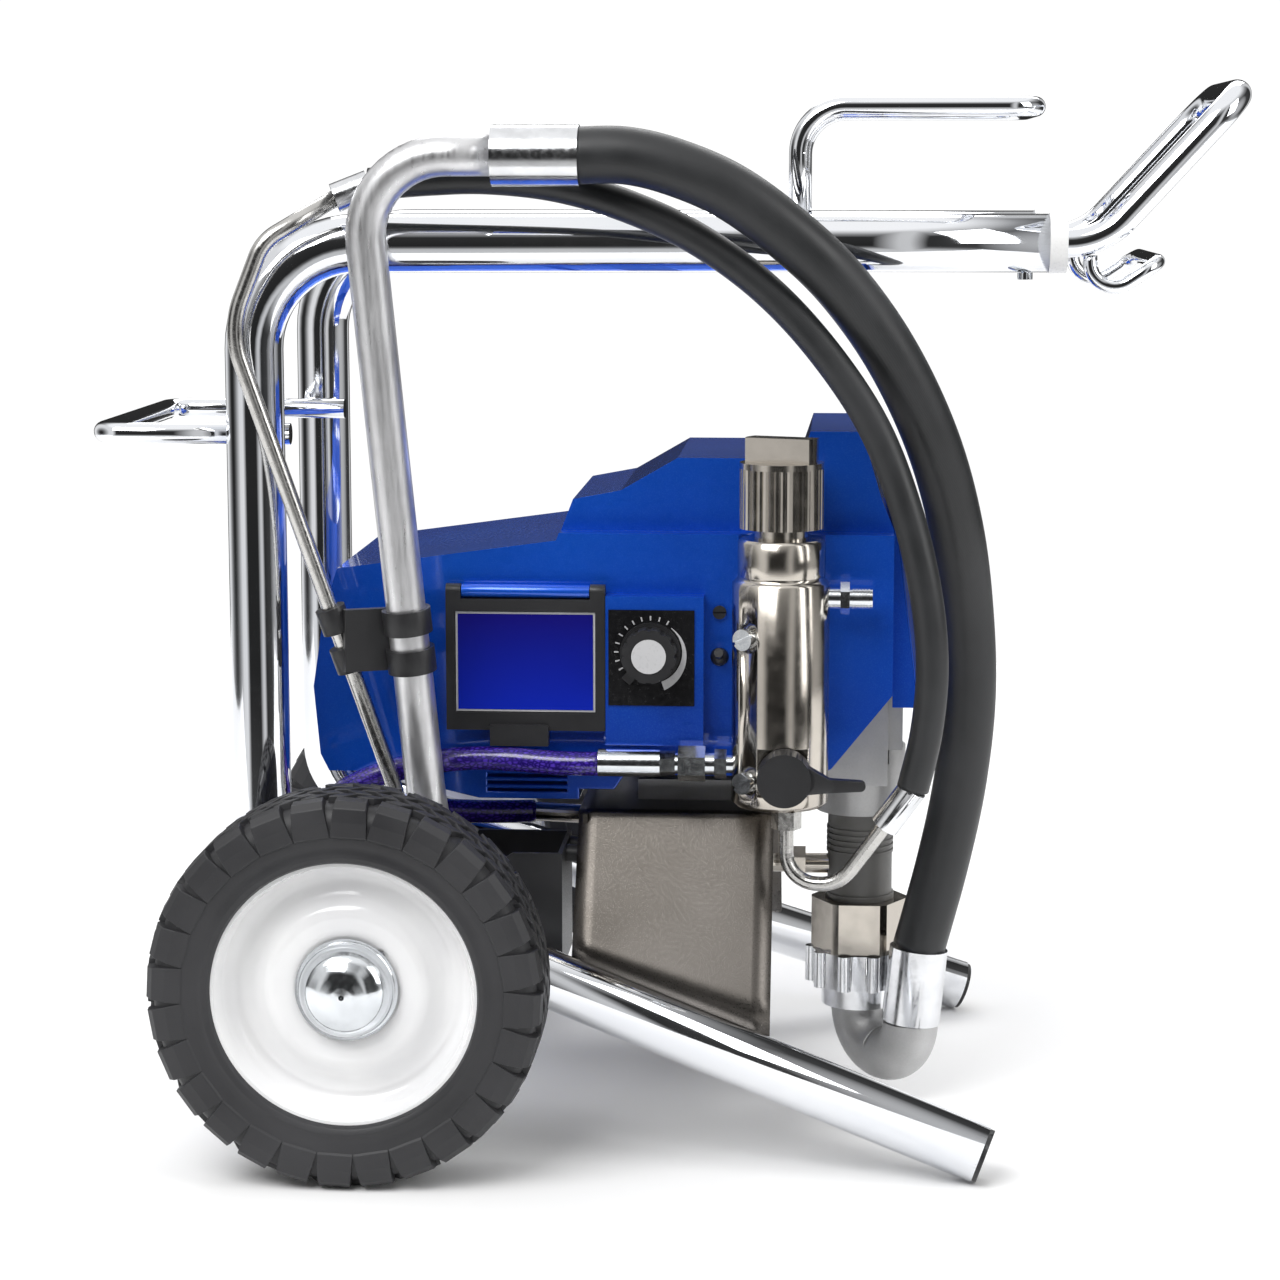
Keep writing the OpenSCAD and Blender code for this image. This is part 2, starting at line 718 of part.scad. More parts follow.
// Lever knob of the drain valve.
module drain_handle() {
    x = filter_x + 4;
    y = filter_y - filter_d / 2 - 1.2;
    color([0.06, 0.06, 0.07]) difference() {
        union() {
            along_y(x, 252, y - 22, y - 0.02, 35);
            hull() {
                along_y(x + 10, 252, y - 18, y - 8, 20, 0, 32);
                along_y(x + 28, 248, y - 16, y - 9, 9, 0, 32);
            }
            hull() {
                along_y(x + 28, 248, y - 16, y - 9, 9, 0, 32);
                along_y(x + 49, 248, y - 15, y - 10, 7, 0, 32);
            }
        }
        along_y(x, 252, y - 9, y + 1, 9.96);
    }
}

drain_low_route = [[filter_x + 5, filter_y - 20, filter_low + 8], [filter_x + 5, filter_y - 20, 178],
    [118, -143, 178], [146.9, -151, 219.8]];

// Steel tube from the valve up to the drain hose, with its union nut.
module drain_tube_lower() {
    color([0.75, 0.74, 0.72]) {
        bar(rounded(drain_low_route, [20, 26]), 9.8, 24);
        upright(filter_x + 5, filter_y - 20, 214, filter_low - 0.05, 20, 0, 6);
    }
}

// ---- Pump ----

// The displacement pump's cylinder, hung in the gearbox.
module pump_cylinder() {
    color([0.5, 0.5, 0.49]) difference() {
        union() {
            upright(crank_x, 0, 137, 240, pump_d);
            for (z = [170:4:186]) upright(crank_x, 0, z, z + 2, pump_d + 1.6);
            upright(crank_x, 0, 137, 141, pump_d + 3);
        }
        upright(crank_x, 0, 130, 222, 27);
        upright(crank_x, 0, 221, 241, 16.12);
        along_x(0, 160, crank_x - 40, crank_x - 12, 14.1);
    }
}

// Polished pump rod with its piston.
module pump_rod() {
    color([0.85, 0.86, 0.88]) {
        upright(crank_x, 0, 180, 264, 16);
        upright(crank_x, 0, 168, 180.01, 26.9);
    }
}

outlet_route = [[crank_x - 40, 0, 160], [crank_x - 62, 0, 160], [0, -30, 188], [-50, -40, 201],
    [-91.9, -46, 204]];

// Nickel pipe from the pump to the pressure hose, with its union nut.
module pump_outlet() {
    color([0.6, 0.55, 0.46]) {
        along_x(0, 160, crank_x - 38, crank_x - 14, 14);
        along_x(0, 160, crank_x - 49, crank_x - 37.9, 24, 0, 6);
        bar(rounded(outlet_route, [12, 60, 60]), 13, 20);
    }
}

// Hexagon nut that joins the intake valve to the cylinder.
module cylinder_nut() {
    color([0.64, 0.6, 0.53]) difference() {
        intersection() {
            upright(crank_x, 0, 101, 136.9, 70, 0, 6);
            upright(crank_x, 0, 101, 136.9, 67);
        }
        upright(crank_x, 0, 100, 140, 27);
    }
}

// Fluted swivel nut of the intake.
module suction_nut() {
    color([0.75, 0.76, 0.77]) difference() {
        union() {
            upright(crank_x, 0, 76, 100.9, 66);
            for (i = [0:9]) rotate_about(crank_x, 0, i * 36) translate([33, 0, 0])
                upright(0, 0, 76, 100.9, 9, 0, 24);
            upright(crank_x, 0, 61, 76.1, 52);
        }
        upright(crank_x, 0, 60, 102, 27);
    }
}

// Turns its child about a vertical line through x, y.
module rotate_about(x, y, a) {
    translate([x, y, 0]) rotate(a) children();
}

hose_x = crank_x + 36;
hose_y = -46;

// Cast return bend between the nut and the hose.
module suction_elbow() {
    low = 31;
    color([0.6, 0.6, 0.6])
        bar(rounded([[crank_x, 0, 60.9], [crank_x, 0, low], [hose_x, hose_y, low], [hose_x, hose_y, 60]],
            [28.9, 28.9]), 38, 36);
}

// Crimped sleeves on both ends of the suction hose.
module suction_ferrules() {
    color([0.85, 0.86, 0.88]) {
        along_x(-170, 650, -104, -49.05, 38.5, 0, 48);
        rod([hose_x, hose_y, 60.1], [173, -45, 111.8], 40);
    }
}

suction_tube_route = [[-104.1, -170, 650], [-190, -170, 650], [-156, -127, 232], [-148, -98, 150]];

// Bent aluminium pick-up tube.
module suction_tube() {
    color([0.8, 0.8, 0.8]) bar(rounded(suction_tube_route, [52, 60]), 26, 32);
}

// Strainer on the end of the pick-up tube.
module suction_strainer() {
    color([0.5, 0.5, 0.5]) rod([-147.9, -97.9, 149.8], [-147, -92, 121.5], 34);
}

drain_tube_route = [[-206, -147, 624], [-252, -163, 596], [-274, -165, 540],
    [-178, -122, 236], [-170, -98, 176]];

// Bent steel tube that returns paint to the pail.
module drain_tube_upper() {
    color([0.7, 0.7, 0.7]) bar(rounded(drain_tube_route, [30, 60, 60]), 11, 24);
}

// Crimped sleeves on both ends of the drain hose.
module drain_ferrules() {
    color([0.85, 0.86, 0.88]) {
        rod([-208, -147.4, 623.2], [-186.1, -143, 631.9], 19);
        rod([147, -151, 220], [165, -156, 246], 19);
    }
}

// Snap clip that holds the drain tube beside the pick-up tube.
module tube_clip() {
    bands = [[316, 332], [342, 358]];
    color([0.07, 0.07, 0.07]) difference() {
        union() {
            for (z = bands) {
                rod(pickup_at(z[0]), pickup_at(z[1]), 32);
                rod(drain_at(z[0]), drain_at(z[1]), 20);
            }
            translate((pickup_at(337) + drain_at(337)) / 2) rotate(23) cube([42, 7, 41], center = true);
        }
        rod(pickup_at(296), pickup_at(378), 26.1);
        rod(drain_at(296), drain_at(378), 11.1);
    }
}

// Centre lines of the two tubes at a height.
function pickup_at(z) = [-190 + (650 - z) * 34 / 418, -170 + (650 - z) * 43 / 418, z];
function drain_at(z) = [-274 + (540 - z) * 96 / 304, -165 + (540 - z) * 43 / 304, z];

// Open cup that catches drips from the two tubes.
module drip_cup() {
    color([0.06, 0.06, 0.07]) difference() {
        union() {
            block([-178, -124, 112], [-66, -50, 192]);
            for (y = [-90, -64]) along_x(y, 185, -66.1, -57.05, 12);
        }
        block([-175, -121, 115], [-69, -53, 193]);
        block([-179, -125, 172], [-170, -90, 193]);
        plate_y([[-180, 172], [-180, 205], [-80, 205], [-128, 172]], -130, -118);
    }
}

// Hose end, swivel nut and adapter of the pressure hose.
module pressure_fittings() {
    y = -118;
    color([0.85, 0.86, 0.88]) {
        along_x(y, 253, -42, -1, 18.5);
        along_x(y, 253, -1, 9, 17, 0, 6);
        along_x(y, 253, 9, 11, 14);
        along_x(y, 253, 11, 29, 24, 0, 6);
        along_x(y, 253, 29, 35, 15);
        along_x(y, 253, 35, 43, 20, 0, 6);
        along_x(y, 253, 43, 53, 12);
    }
}

// ---- Hoses ----

module suction_hose() {
    color([0.1, 0.1, 0.11]) bar(smooth(suction_route, 2), suction_hose_d, 12);
}

module drain_hose() {
    color([0.1, 0.1, 0.11]) bar(smooth(drain_route, 2), drain_hose_d, 12);
}

module pressure_hose() {
    color([0.12, 0.05, 0.5]) bar(smooth(pressure_route, 2), pressure_hose_d, 12);
}

side_tube_near();
side_tube_far();
axle();
rear_rack();
hose_rack();
saddle();
foot_plugs();
collars();
stop_screws();
handle();
pail_hook();
tyre_near();
rim_near();
bearing_near();
hub_cap_near();
tyre_far();
rim_far();
bearing_far();
hub_cap_far();
shroud();
front_cover();
motor_cover();
gearbox();
gearbox_front();
motor_stator();
motor_rotor();
crank_gear();
connecting_rod();
display_cover();
display_panel();
control_panel();
pressure_knob();
power_switch();
cover_screws();
filter_housing();
filter_cap();
filter_element();
outlet_fitting();
housing_bolts();
drain_valve();
drain_handle();
drain_tube_lower();
pump_cylinder();
pump_rod();
pump_outlet();
cylinder_nut();
suction_nut();
suction_elbow();
suction_ferrules();
suction_tube();
suction_strainer();
drain_ferrules();
drain_tube_upper();
tube_clip();
drip_cup();
pressure_fittings();
suction_hose();
drain_hose();
pressure_hose();
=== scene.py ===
"""An airless paint sprayer on its two-wheeled cart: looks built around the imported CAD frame."""

import json
from math import acos, cos, pi, radians, sin, tan

import bmesh
import bpy
from mathutils import Matrix, Vector


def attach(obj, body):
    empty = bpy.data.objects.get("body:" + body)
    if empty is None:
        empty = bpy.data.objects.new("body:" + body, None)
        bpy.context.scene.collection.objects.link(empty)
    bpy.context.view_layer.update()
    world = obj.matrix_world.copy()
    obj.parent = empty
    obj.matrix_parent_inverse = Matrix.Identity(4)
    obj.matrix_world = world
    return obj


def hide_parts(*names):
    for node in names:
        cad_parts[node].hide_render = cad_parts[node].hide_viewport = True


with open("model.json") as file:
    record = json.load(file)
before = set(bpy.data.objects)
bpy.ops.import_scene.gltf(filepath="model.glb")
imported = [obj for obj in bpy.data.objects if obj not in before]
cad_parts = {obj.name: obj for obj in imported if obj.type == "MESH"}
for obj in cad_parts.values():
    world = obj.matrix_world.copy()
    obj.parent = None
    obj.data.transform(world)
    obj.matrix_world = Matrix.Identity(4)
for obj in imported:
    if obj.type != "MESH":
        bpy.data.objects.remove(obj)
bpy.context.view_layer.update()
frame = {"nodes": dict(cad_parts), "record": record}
nodes = frame["nodes"]
MM = 0.001
TURN = 2 * pi


# ---- Camera ----

def make_camera():
    """A long lens a little above the machine and to the right of it, turned slightly to the left."""
    data = bpy.data.cameras.new("camera")
    data.sensor_width = 36
    data.lens = 85.8
    data.clip_end = 50
    camera = bpy.data.objects.new("camera", data)
    camera.location = (0.1216, -2.098, 0.6404)
    camera.rotation_euler = (radians(90 - 8.74), 0, radians(3.93))
    bpy.context.collection.objects.link(camera)
    bpy.context.scene.camera = camera


make_camera()


# ---- Shapes ----

def link(name, mesh, body, slot, material, *replaced):
    """Makes a piece from a mesh, in the row frame, and says what it rides on and stands for."""
    piece = bpy.data.objects.new(name, mesh)
    bpy.context.collection.objects.link(piece)
    piece.data.materials.append(material)
    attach(piece, body)
    if replaced:
        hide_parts(*replaced)
    return piece


def metres(points):
    """The points given in millimetres, as vectors in metres."""
    return [Vector(p) * MM for p in points]


def smooth_line(points, steps):
    """A smooth curve through the points, with a number of steps between each pair."""
    last = len(points) - 1
    line = []
    for i in range(last):
        a, b, c, d = (points[min(max(i + k, 0), last)] for k in (-1, 0, 1, 2))
        for k in range(steps):
            t = k / steps
            line.append(0.5 * (2 * b + (c - a) * t + (2 * a - 5 * b + 4 * c - d) * t**2
                               + (3 * b - a - 3 * c + d) * t**3))
    return line + [points[last]]


def rounded_line(points, radii, steps=14):
    """A path with every inner corner rounded to its own radius."""
    line = [points[0]]
    for a, b, c, r in zip(points, points[1:], points[2:], radii):
        u, v = (a - b).normalized(), (c - b).normalized()
        opening = acos(max(-1, min(1, u.dot(v))))
        start = b + u * r / tan(opening / 2)
        centre = b + (u + v).normalized() * r / sin(opening / 2)
        side = (start - centre).normalized()
        for i in range(steps + 1):
            t = i * (pi - opening) / steps
            line.append(centre + r * (cos(t) * side - sin(t) * u))
    return line + [points[-1]]


def tube_mesh(name, line, diameter, sides=48, ends=True):
    """A round tube swept along a line without twisting, closed with flat end caps when ends is true."""
    mesh = bpy.data.meshes.new(name)
    bm = bmesh.new()
    last = len(line) - 1
    side = Vector((0, 0, 1))
    rings = []
    for i, point in enumerate(line):
        heading = (line[min(i + 1, last)] - line[max(i - 1, 0)]).normalized()
        if i == 0 and abs(heading.z) > 0.9:
            side = Vector((1, 0, 0))
        side = (side - heading * side.dot(heading)).normalized()
        other = heading.cross(side)
        rings.append([bm.verts.new(point + diameter / 2 * (cos(a) * side + sin(a) * other))
                      for a in (TURN * (k + 0.5) / sides for k in range(sides))])
    for low, high in zip(rings, rings[1:]):
        for k in range(sides):
            j = (k + 1) % sides
            bm.faces.new((low[k], low[j], high[j], high[k])).smooth = True
    if ends:
        bm.faces.new(rings[0][::-1])
        bm.faces.new(rings[-1])
    bm.to_mesh(mesh)
    bm.free()
    return mesh


# ---- Materials ----

def fill_ramp(node, stops):
    """Sets a colour ramp's stops, each a place and a grey or a colour."""
    points = node.color_ramp.elements
    points.remove(points[1])
    for i, (at, colour) in enumerate(stops):
        point = points.new(at) if i else points[0]
        point.position = at
        point.color = (*colour, 1) if isinstance(colour, tuple) else (colour, colour, colour, 1)


class Nodes:
    """A material's node tree, with short calls for what the materials here need."""

    def __init__(self, name):
        self.material = bpy.data.materials.new(name)
        self.material.use_nodes = True
        self.tree = self.material.node_tree
        self.shader = self.tree.nodes["Principled BSDF"]
        self.place = self.add("ShaderNodeTexCoord").outputs["Object"]

    def add(self, kind, **values):
        node = self.tree.nodes.new(kind)
        for key, value in values.items():
            setattr(node, key, value)
        return node

    def join(self, a, b):
        self.tree.links.new(a, b)

    def stretched(self, scale):
        """Object coordinates scaled differently along X, Y and Z."""
        node = self.add("ShaderNodeMapping")
        node.inputs["Scale"].default_value = scale
        self.join(self.place, node.inputs["Vector"])
        return node.outputs["Vector"]

    def noise(self, scale, detail=4, place=None):
        node = self.add("ShaderNodeTexNoise")
        node.inputs["Scale"].default_value = scale
        node.inputs["Detail"].default_value = detail
        self.join(place or self.place, node.inputs["Vector"])
        return node.outputs["Fac"]

    def cells(self, scale, feature="F1", place=None):
        node = self.add("ShaderNodeTexVoronoi", feature=feature)
        node.inputs["Scale"].default_value = scale
        self.join(place or self.place, node.inputs["Vector"])
        return node.outputs["Distance" if feature != "F1" else "Color"]

    def ramp(self, source, stops):
        """Colours, or greys, blended along the source's value."""
        node = self.add("ShaderNodeValToRGB")
        fill_ramp(node, stops)
        self.join(source, node.inputs["Fac"])
        return node.outputs["Color"]

    def bump(self, source, strength, distance=0.0005):
        node = self.add("ShaderNodeBump")
        node.inputs["Strength"].default_value = strength
        node.inputs["Distance"].default_value = distance
        self.join(source, node.inputs["Height"])
        previous = self.shader.inputs["Normal"]
        if previous.links:
            self.join(previous.links[0].from_socket, node.inputs["Normal"])
        self.join(node.outputs["Normal"], previous)

    def set(self, **values):
        for key, value in values.items():
            socket = self.shader.inputs[key.replace("_", " ")]
            if isinstance(value, (tuple, float, int)):
                socket.default_value = (*value, 1) if isinstance(value, tuple) else value
            else:
                self.join(value, socket)
        return self


def chrome():
    m = Nodes("chrome_plate")
    m.set(Metallic=1.0,
          Base_Color=m.ramp(m.noise(9), [(0.3, (0.78, 0.80, 0.84)), (0.7, (0.86, 0.87, 0.89))]),
          Roughness=m.ramp(m.noise(70, 6), [(0.35, 0.035), (0.75, 0.1)]))
    m.bump(m.noise(14, 2), 0.06, 0.001)
    return m.material


def nickel():
    """Satin nickel, a little clouded."""
    m = Nodes("satin_nickel")
    cloud = m.noise(90, 4)
    m.set(Metallic=1.0, Base_Color=m.ramp(m.noise(16), [(0.3, (0.50, 0.46, 0.41)), (0.7, (0.60, 0.56, 0.50))]),
          Roughness=m.ramp(cloud, [(0.3, 0.14), (0.75, 0.24)]))
    return m.material


def saddle_steel():
    """Dark rolled sheet, mottled, with a fine grain."""
    m = Nodes("dark_rolled_steel")
    mottle = m.noise(7, 8)
    grit = m.noise(1500, 3)
    tones = [(0.3, (0.075, 0.068, 0.06)), (0.62, (0.125, 0.115, 0.105)), (0.8, (0.17, 0.157, 0.145))]
    m.set(Metallic=1.0, Base_Color=m.ramp(mottle, tones),
          Roughness=m.ramp(grit, [(0.35, 0.26), (0.7, 0.42)]))
    m.bump(grit, 0.18, 0.0002)
    return m.material


def zinc(name, colour, rough):
    """Bright plated steel, slightly clouded, with a fine grain."""
    m = Nodes(name)
    cloud = m.noise(60, 5)
    m.set(Metallic=1.0, Base_Color=m.ramp(cloud, [(0.3, tuple(0.82 * c for c in colour)), (0.7, colour)]),
          Roughness=m.ramp(m.noise(300, 3), [(0.3, rough * 0.7), (0.75, rough * 1.5)]))
    m.bump(m.noise(260, 3), 0.08, 0.0003)
    return m.material


def casting():
    m = Nodes("blasted_casting")
    grain = m.noise(900, 4)
    m.set(Metallic=0.85, Base_Color=m.ramp(m.noise(25, 5), [(0.3, (0.42, 0.42, 0.42)), (0.7, (0.56, 0.56, 0.56))]),
          Roughness=m.ramp(grain, [(0.3, 0.42), (0.7, 0.6)]))
    m.bump(grain, 0.35, 0.0003)
    return m.material


def drawn_alloy():
    """Drawn tube with long scratches and dull patches."""
    m = Nodes("drawn_aluminium")
    streaks = m.noise(1, 5, m.stretched((420, 420, 16)))
    dull = m.noise(30, 6)
    m.set(Metallic=0.9, Base_Color=m.ramp(dull, [(0.3, (0.60, 0.60, 0.61)), (0.68, (0.76, 0.76, 0.77))]),
          Roughness=m.ramp(streaks, [(0.3, 0.26), (0.75, 0.46)]))
    m.bump(streaks, 0.15, 0.0002)
    return m.material


def blue_lacquer():
    """Metallic blue lacquer: flake under a clear coat, with a faint orange peel."""
    m = Nodes("metallic_blue")
    flake = m.cells(1900)
    cloud = m.ramp(m.noise(5, 2), [(0.3, (0.0, 0.05, 0.46)), (0.75, (0.0, 0.11, 0.72))])
    spark = m.add("ShaderNodeMix", data_type="RGBA", blend_type="SCREEN")
    spark.inputs[0].default_value = 0.12
    m.join(cloud, spark.inputs[6])
    m.join(m.ramp(flake, [(0.55, (0.0, 0.02, 0.12)), (0.95, (0.1, 0.3, 0.9))]), spark.inputs[7])
    m.set(Metallic=0.45, Base_Color=spark.outputs[2], Coat_Weight=1.0, Coat_Roughness=0.04,
          Roughness=m.ramp(m.noise(500, 2), [(0.3, 0.28), (0.7, 0.4)]))
    m.bump(m.noise(160, 2), 0.05, 0.0004)
    return m.material


def moulded(name, dark, light, rough, grain=1400.0, depth=0.25):
    """Moulded plastic with spark-eroded grain."""
    m = Nodes(name)
    fine = m.noise(grain, 3)
    m.set(Base_Color=m.ramp(m.noise(20, 4), [(0.3, dark), (0.7, light)]),
          Roughness=m.ramp(fine, [(0.3, rough - 0.08), (0.7, rough + 0.1)]))
    m.bump(fine, depth, 0.0002)
    return m.material


def rubber():
    """Tyre rubber with a dusty bloom and fine moulding grain."""
    m = Nodes("tyre_rubber")
    bloom = m.noise(11, 6)
    grain = m.noise(700, 4)
    m.set(Base_Color=m.ramp(bloom, [(0.3, (0.014, 0.014, 0.016)), (0.75, (0.034, 0.034, 0.037))]),
          Roughness=m.ramp(bloom, [(0.3, 0.42), (0.7, 0.62)]))
    m.bump(grain, 0.3, 0.0003)
    return m.material


def hose_rubber():
    """Wrapped hose rubber: the faint diagonal print of the curing cloth and dull patches."""
    m = Nodes("wrapped_rubber")
    print_one = m.add("ShaderNodeTexWave", bands_direction="DIAGONAL")
    print_one.inputs["Scale"].default_value = 330
    print_one.inputs["Distortion"].default_value = 0.6
    m.join(m.place, print_one.inputs["Vector"])
    patches = m.noise(22, 5)
    m.set(Base_Color=m.ramp(patches, [(0.3, (0.011, 0.012, 0.013)), (0.72, (0.024, 0.025, 0.027))]),
          Roughness=m.ramp(patches, [(0.3, 0.36), (0.7, 0.52)]))
    m.bump(print_one.outputs["Fac"], 0.1, 0.0002)
    m.bump(m.noise(240, 4), 0.2, 0.0004)
    return m.material


def hose_blue():
    """Violet-blue jacket over a braid that shows through as small diamonds."""
    m = Nodes("blue_jacket")
    braid = m.cells(430, "DISTANCE_TO_EDGE", m.stretched((0.6, 1, 1)))
    m.set(Base_Color=m.ramp(braid, [(0.05, (0.012, 0.004, 0.12)), (0.3, (0.07, 0.03, 0.42))]),
          Roughness=m.ramp(m.noise(120), [(0.3, 0.16), (0.7, 0.26)]), Coat_Weight=0.6, Coat_Roughness=0.08)
    m.bump(braid, 0.4, 0.0004)
    return m.material


def enamel():
    """White enamel over pressed steel, with the softness of sprayed paint."""
    m = Nodes("white_enamel")
    m.set(Base_Color=m.ramp(m.noise(18, 3), [(0.3, (0.80, 0.80, 0.81)), (0.7, (0.87, 0.87, 0.87))]),
          Roughness=m.ramp(m.noise(90, 3), [(0.3, 0.12), (0.7, 0.22)]), Coat_Weight=0.5, Coat_Roughness=0.05)
    m.bump(m.noise(26, 2), 0.12, 0.0012)
    return m.material


def screen_mesh():
    m = Nodes("strainer_mesh")
    wires = m.cells(900, "DISTANCE_TO_EDGE")
    m.set(Metallic=0.7, Base_Color=m.ramp(wires, [(0.1, (0.6, 0.58, 0.5)), (0.4, (0.12, 0.11, 0.09))]),
          Roughness=m.ramp(wires, [(0.1, 0.3), (0.5, 0.6)]))
    m.bump(wires, 0.6, 0.0004)
    return m.material


LOOKS = {
    "chrome": chrome(),
    "nickel": nickel(),
    "saddle_steel": saddle_steel(),
    "zinc": zinc("bright_zinc", (0.80, 0.83, 0.86), 0.14),
    "axle_steel": zinc("plated_steel", (0.62, 0.63, 0.65), 0.25),
    "gear_steel": zinc("gear_steel", (0.45, 0.45, 0.46), 0.3),
    "polished_steel": zinc("polished_steel", (0.74, 0.75, 0.77), 0.08),
    "crimp": zinc("crimped_alloy", (0.82, 0.83, 0.85), 0.17),
    "stainless": zinc("stainless_tube", (0.60, 0.59, 0.57), 0.22),
    "pump_steel": moulded("phosphate_steel", (0.13, 0.13, 0.125), (0.2, 0.195, 0.185), 0.42, 700.0, 0.3),
    "cast_alloy": casting(),
    "alloy_tube": drawn_alloy(),
    "blue_cover": blue_lacquer(),
    "black_plastic": moulded("black_moulding", (0.012, 0.012, 0.013), (0.024, 0.024, 0.026), 0.38),
    "white_plastic": moulded("white_nylon", (0.8, 0.8, 0.79), (0.88, 0.88, 0.88), 0.3, 500.0, 0.1),
    "dial_plate": moulded("printed_plate", (0.006, 0.006, 0.007), (0.012, 0.012, 0.013), 0.2, 300.0, 0.03),
    "motor_steel": moulded("motor_enamel", (0.02, 0.02, 0.022), (0.035, 0.035, 0.04), 0.4),
    "copper": zinc("varnished_copper", (0.55, 0.28, 0.14), 0.3),
    "bush": zinc("sintered_bronze", (0.5, 0.4, 0.25), 0.35),
    "tyre_rubber": rubber(),
    "rim_paint": enamel(),
    "hose_rubber": hose_rubber(),
    "hose_blue": hose_blue(),
    "screen": screen_mesh(),
}


def dress_frame():
    """Gives every CAD node its look and welds its loose vertices, and softens the sharp edges of the listed ones.
    """
    slots = {s["node"]: s["material_slot"] for s in frame["record"]["subparts"]}
    fine = {"shroud": 2.2, "front_cover": 2.0, "display_panel": 1.6, "display_cover": 1.2,
            "drip_cup": 1.2, "motor_cover": 1.5, "gearbox": 1.6, "gearbox_front": 1.2, "tube_clip": 0.8}
    for name, node in nodes.items():
        node.data.materials.clear()
        node.data.materials.append(LOOKS[slots[name]])
        weld = node.modifiers.new("weld", "WELD")
        weld.merge_threshold = 0.02 * MM
        if name in fine:
            bevel = node.modifiers.new("edges", "BEVEL")
            bevel.width = fine[name] * MM
            bevel.segments = 3
            bevel.angle_limit = radians(24)
            bevel.harden_normals = True


dress_frame()


# ---- Hoses ----

SUCTION_ROUTE = metres([
    (-49, -170, 650), (-20, -170, 650), (10, -169, 643), (45, -166, 628), (80, -159, 603),
    (115, -148, 570), (148, -131, 524), (175, -111, 468), (192, -91, 410), (201, -70, 350),
    (204, -60, 290), (199, -53, 230), (188, -49, 172), (173, -45, 112)])
DRAIN_ROUTE = metres([
    (-186, -143, 632), (-150, -143, 635), (-110, -143, 636), (-65, -143, 631), (-20, -143, 618),
    (25, -145, 597), (68, -148, 566), (105, -153, 527), (137, -159, 480), (158, -165, 428),
    (171, -168, 376), (176, -166, 328), (173, -161, 284), (165, -156, 246)])
PRESSURE_ROUTE = metres([
    (-42, -118, 252), (-70, -117, 252), (-100, -112, 253), (-130, -105, 252), (-160, -104, 248),
    (-190, -103, 240), (-214, -97, 228), (-222, -82, 217), (-206, -68, 211), (-172, -62, 208),
    (-130, -54, 205), (-92, -46, 204)])


def hose(node, route, diameter, slot):
    """A hose held at both ends by the machine."""
    line = smooth_line(route, 8)
    piece = link(node + "_tube", tube_mesh(node + "_tube", line, diameter), "cart", slot, LOOKS[slot], node)


hose("suction_hose", SUCTION_ROUTE, 36 * MM, "hose_rubber")
hose("drain_hose", DRAIN_ROUTE, 21 * MM, "hose_rubber")
hose("pressure_hose", PRESSURE_ROUTE, 16 * MM, "hose_blue")


# ---- Round tubes and rods that stand for the plainer CAD ones ----

def bent(name, points, radii, diameter, slot, body, *replaced):
    """A bent tube through the points, all in millimetres."""
    line = rounded_line(metres(points), [r * MM for r in radii])
    return link(name, tube_mesh(name, line, diameter * MM), body, slot, LOOKS[slot], *replaced)


def mirrored(points, sign):
    return [(x, sign * y, z) for x, y, z in points]


LEG_PATH = [(210.6, 207, 17.93), (-265, 131, 184.5), (-265, 131, 594), (106, 80, 594), (250, 80, 594)]
for side, sign in (("near", -1), ("far", 1)):
    bent(f"frame_tube_{side}", mirrored(LEG_PATH, sign), [45, 68, 160], 38, "chrome", "cart", f"side_tube_{side}")

bent("lead_rack", [(-246, -109, 469), (-374, -109, 469), (-374, 109, 469), (-246, 109, 469)],
     [16, 16], 14, "chrome", "cart", "rear_rack")
bent("spray_hose_rack", [(87, -80, 613), (87, -80, 682), (241, -80, 682), (241, 80, 682), (87, 80, 682),
                         (87, 80, 613)], [30, 20, 20, 30], 13, "chrome", "cart", "hose_rack")
bent("grip_tube", [(112, -80, 594), (284, -80, 594), (371.5, -80, 690), (371.5, 80, 690), (284, 80, 594),
                   (112, 80, 594)], [50, 26, 26, 50], 19, "chrome", "telescoping_handle", "handle")
bent("bail_hook", [(277, -80, 586), (277, -80, 552), (322, -80, 582), (322, 80, 582), (277, 80, 552),
                   (277, 80, 586)], [16, 14, 14, 16], 9.5, "chrome", "telescoping_handle", "pail_hook")
bent("pickup_tube", [(-104.1, -170, 650), (-190, -170, 650), (-156, -127, 232), (-148, -98, 150)],
     [52, 60], 26, "alloy_tube", "cart", "suction_tube")
bent("drain_tube_long", [(-206, -147, 624), (-252, -163, 596), (-274, -165, 540), (-178, -122, 236),
                         (-170, -98, 176)], [30, 60, 60], 11, "stainless", "cart", "drain_tube_upper")
bent("return_bend", [(132, 0, 60.9), (132, 0, 31), (168, -46, 31), (168, -46, 60)], [28.9, 28.9], 38,
     "cast_alloy", "cart", "suction_elbow")


# ---- Saddle sheet ----

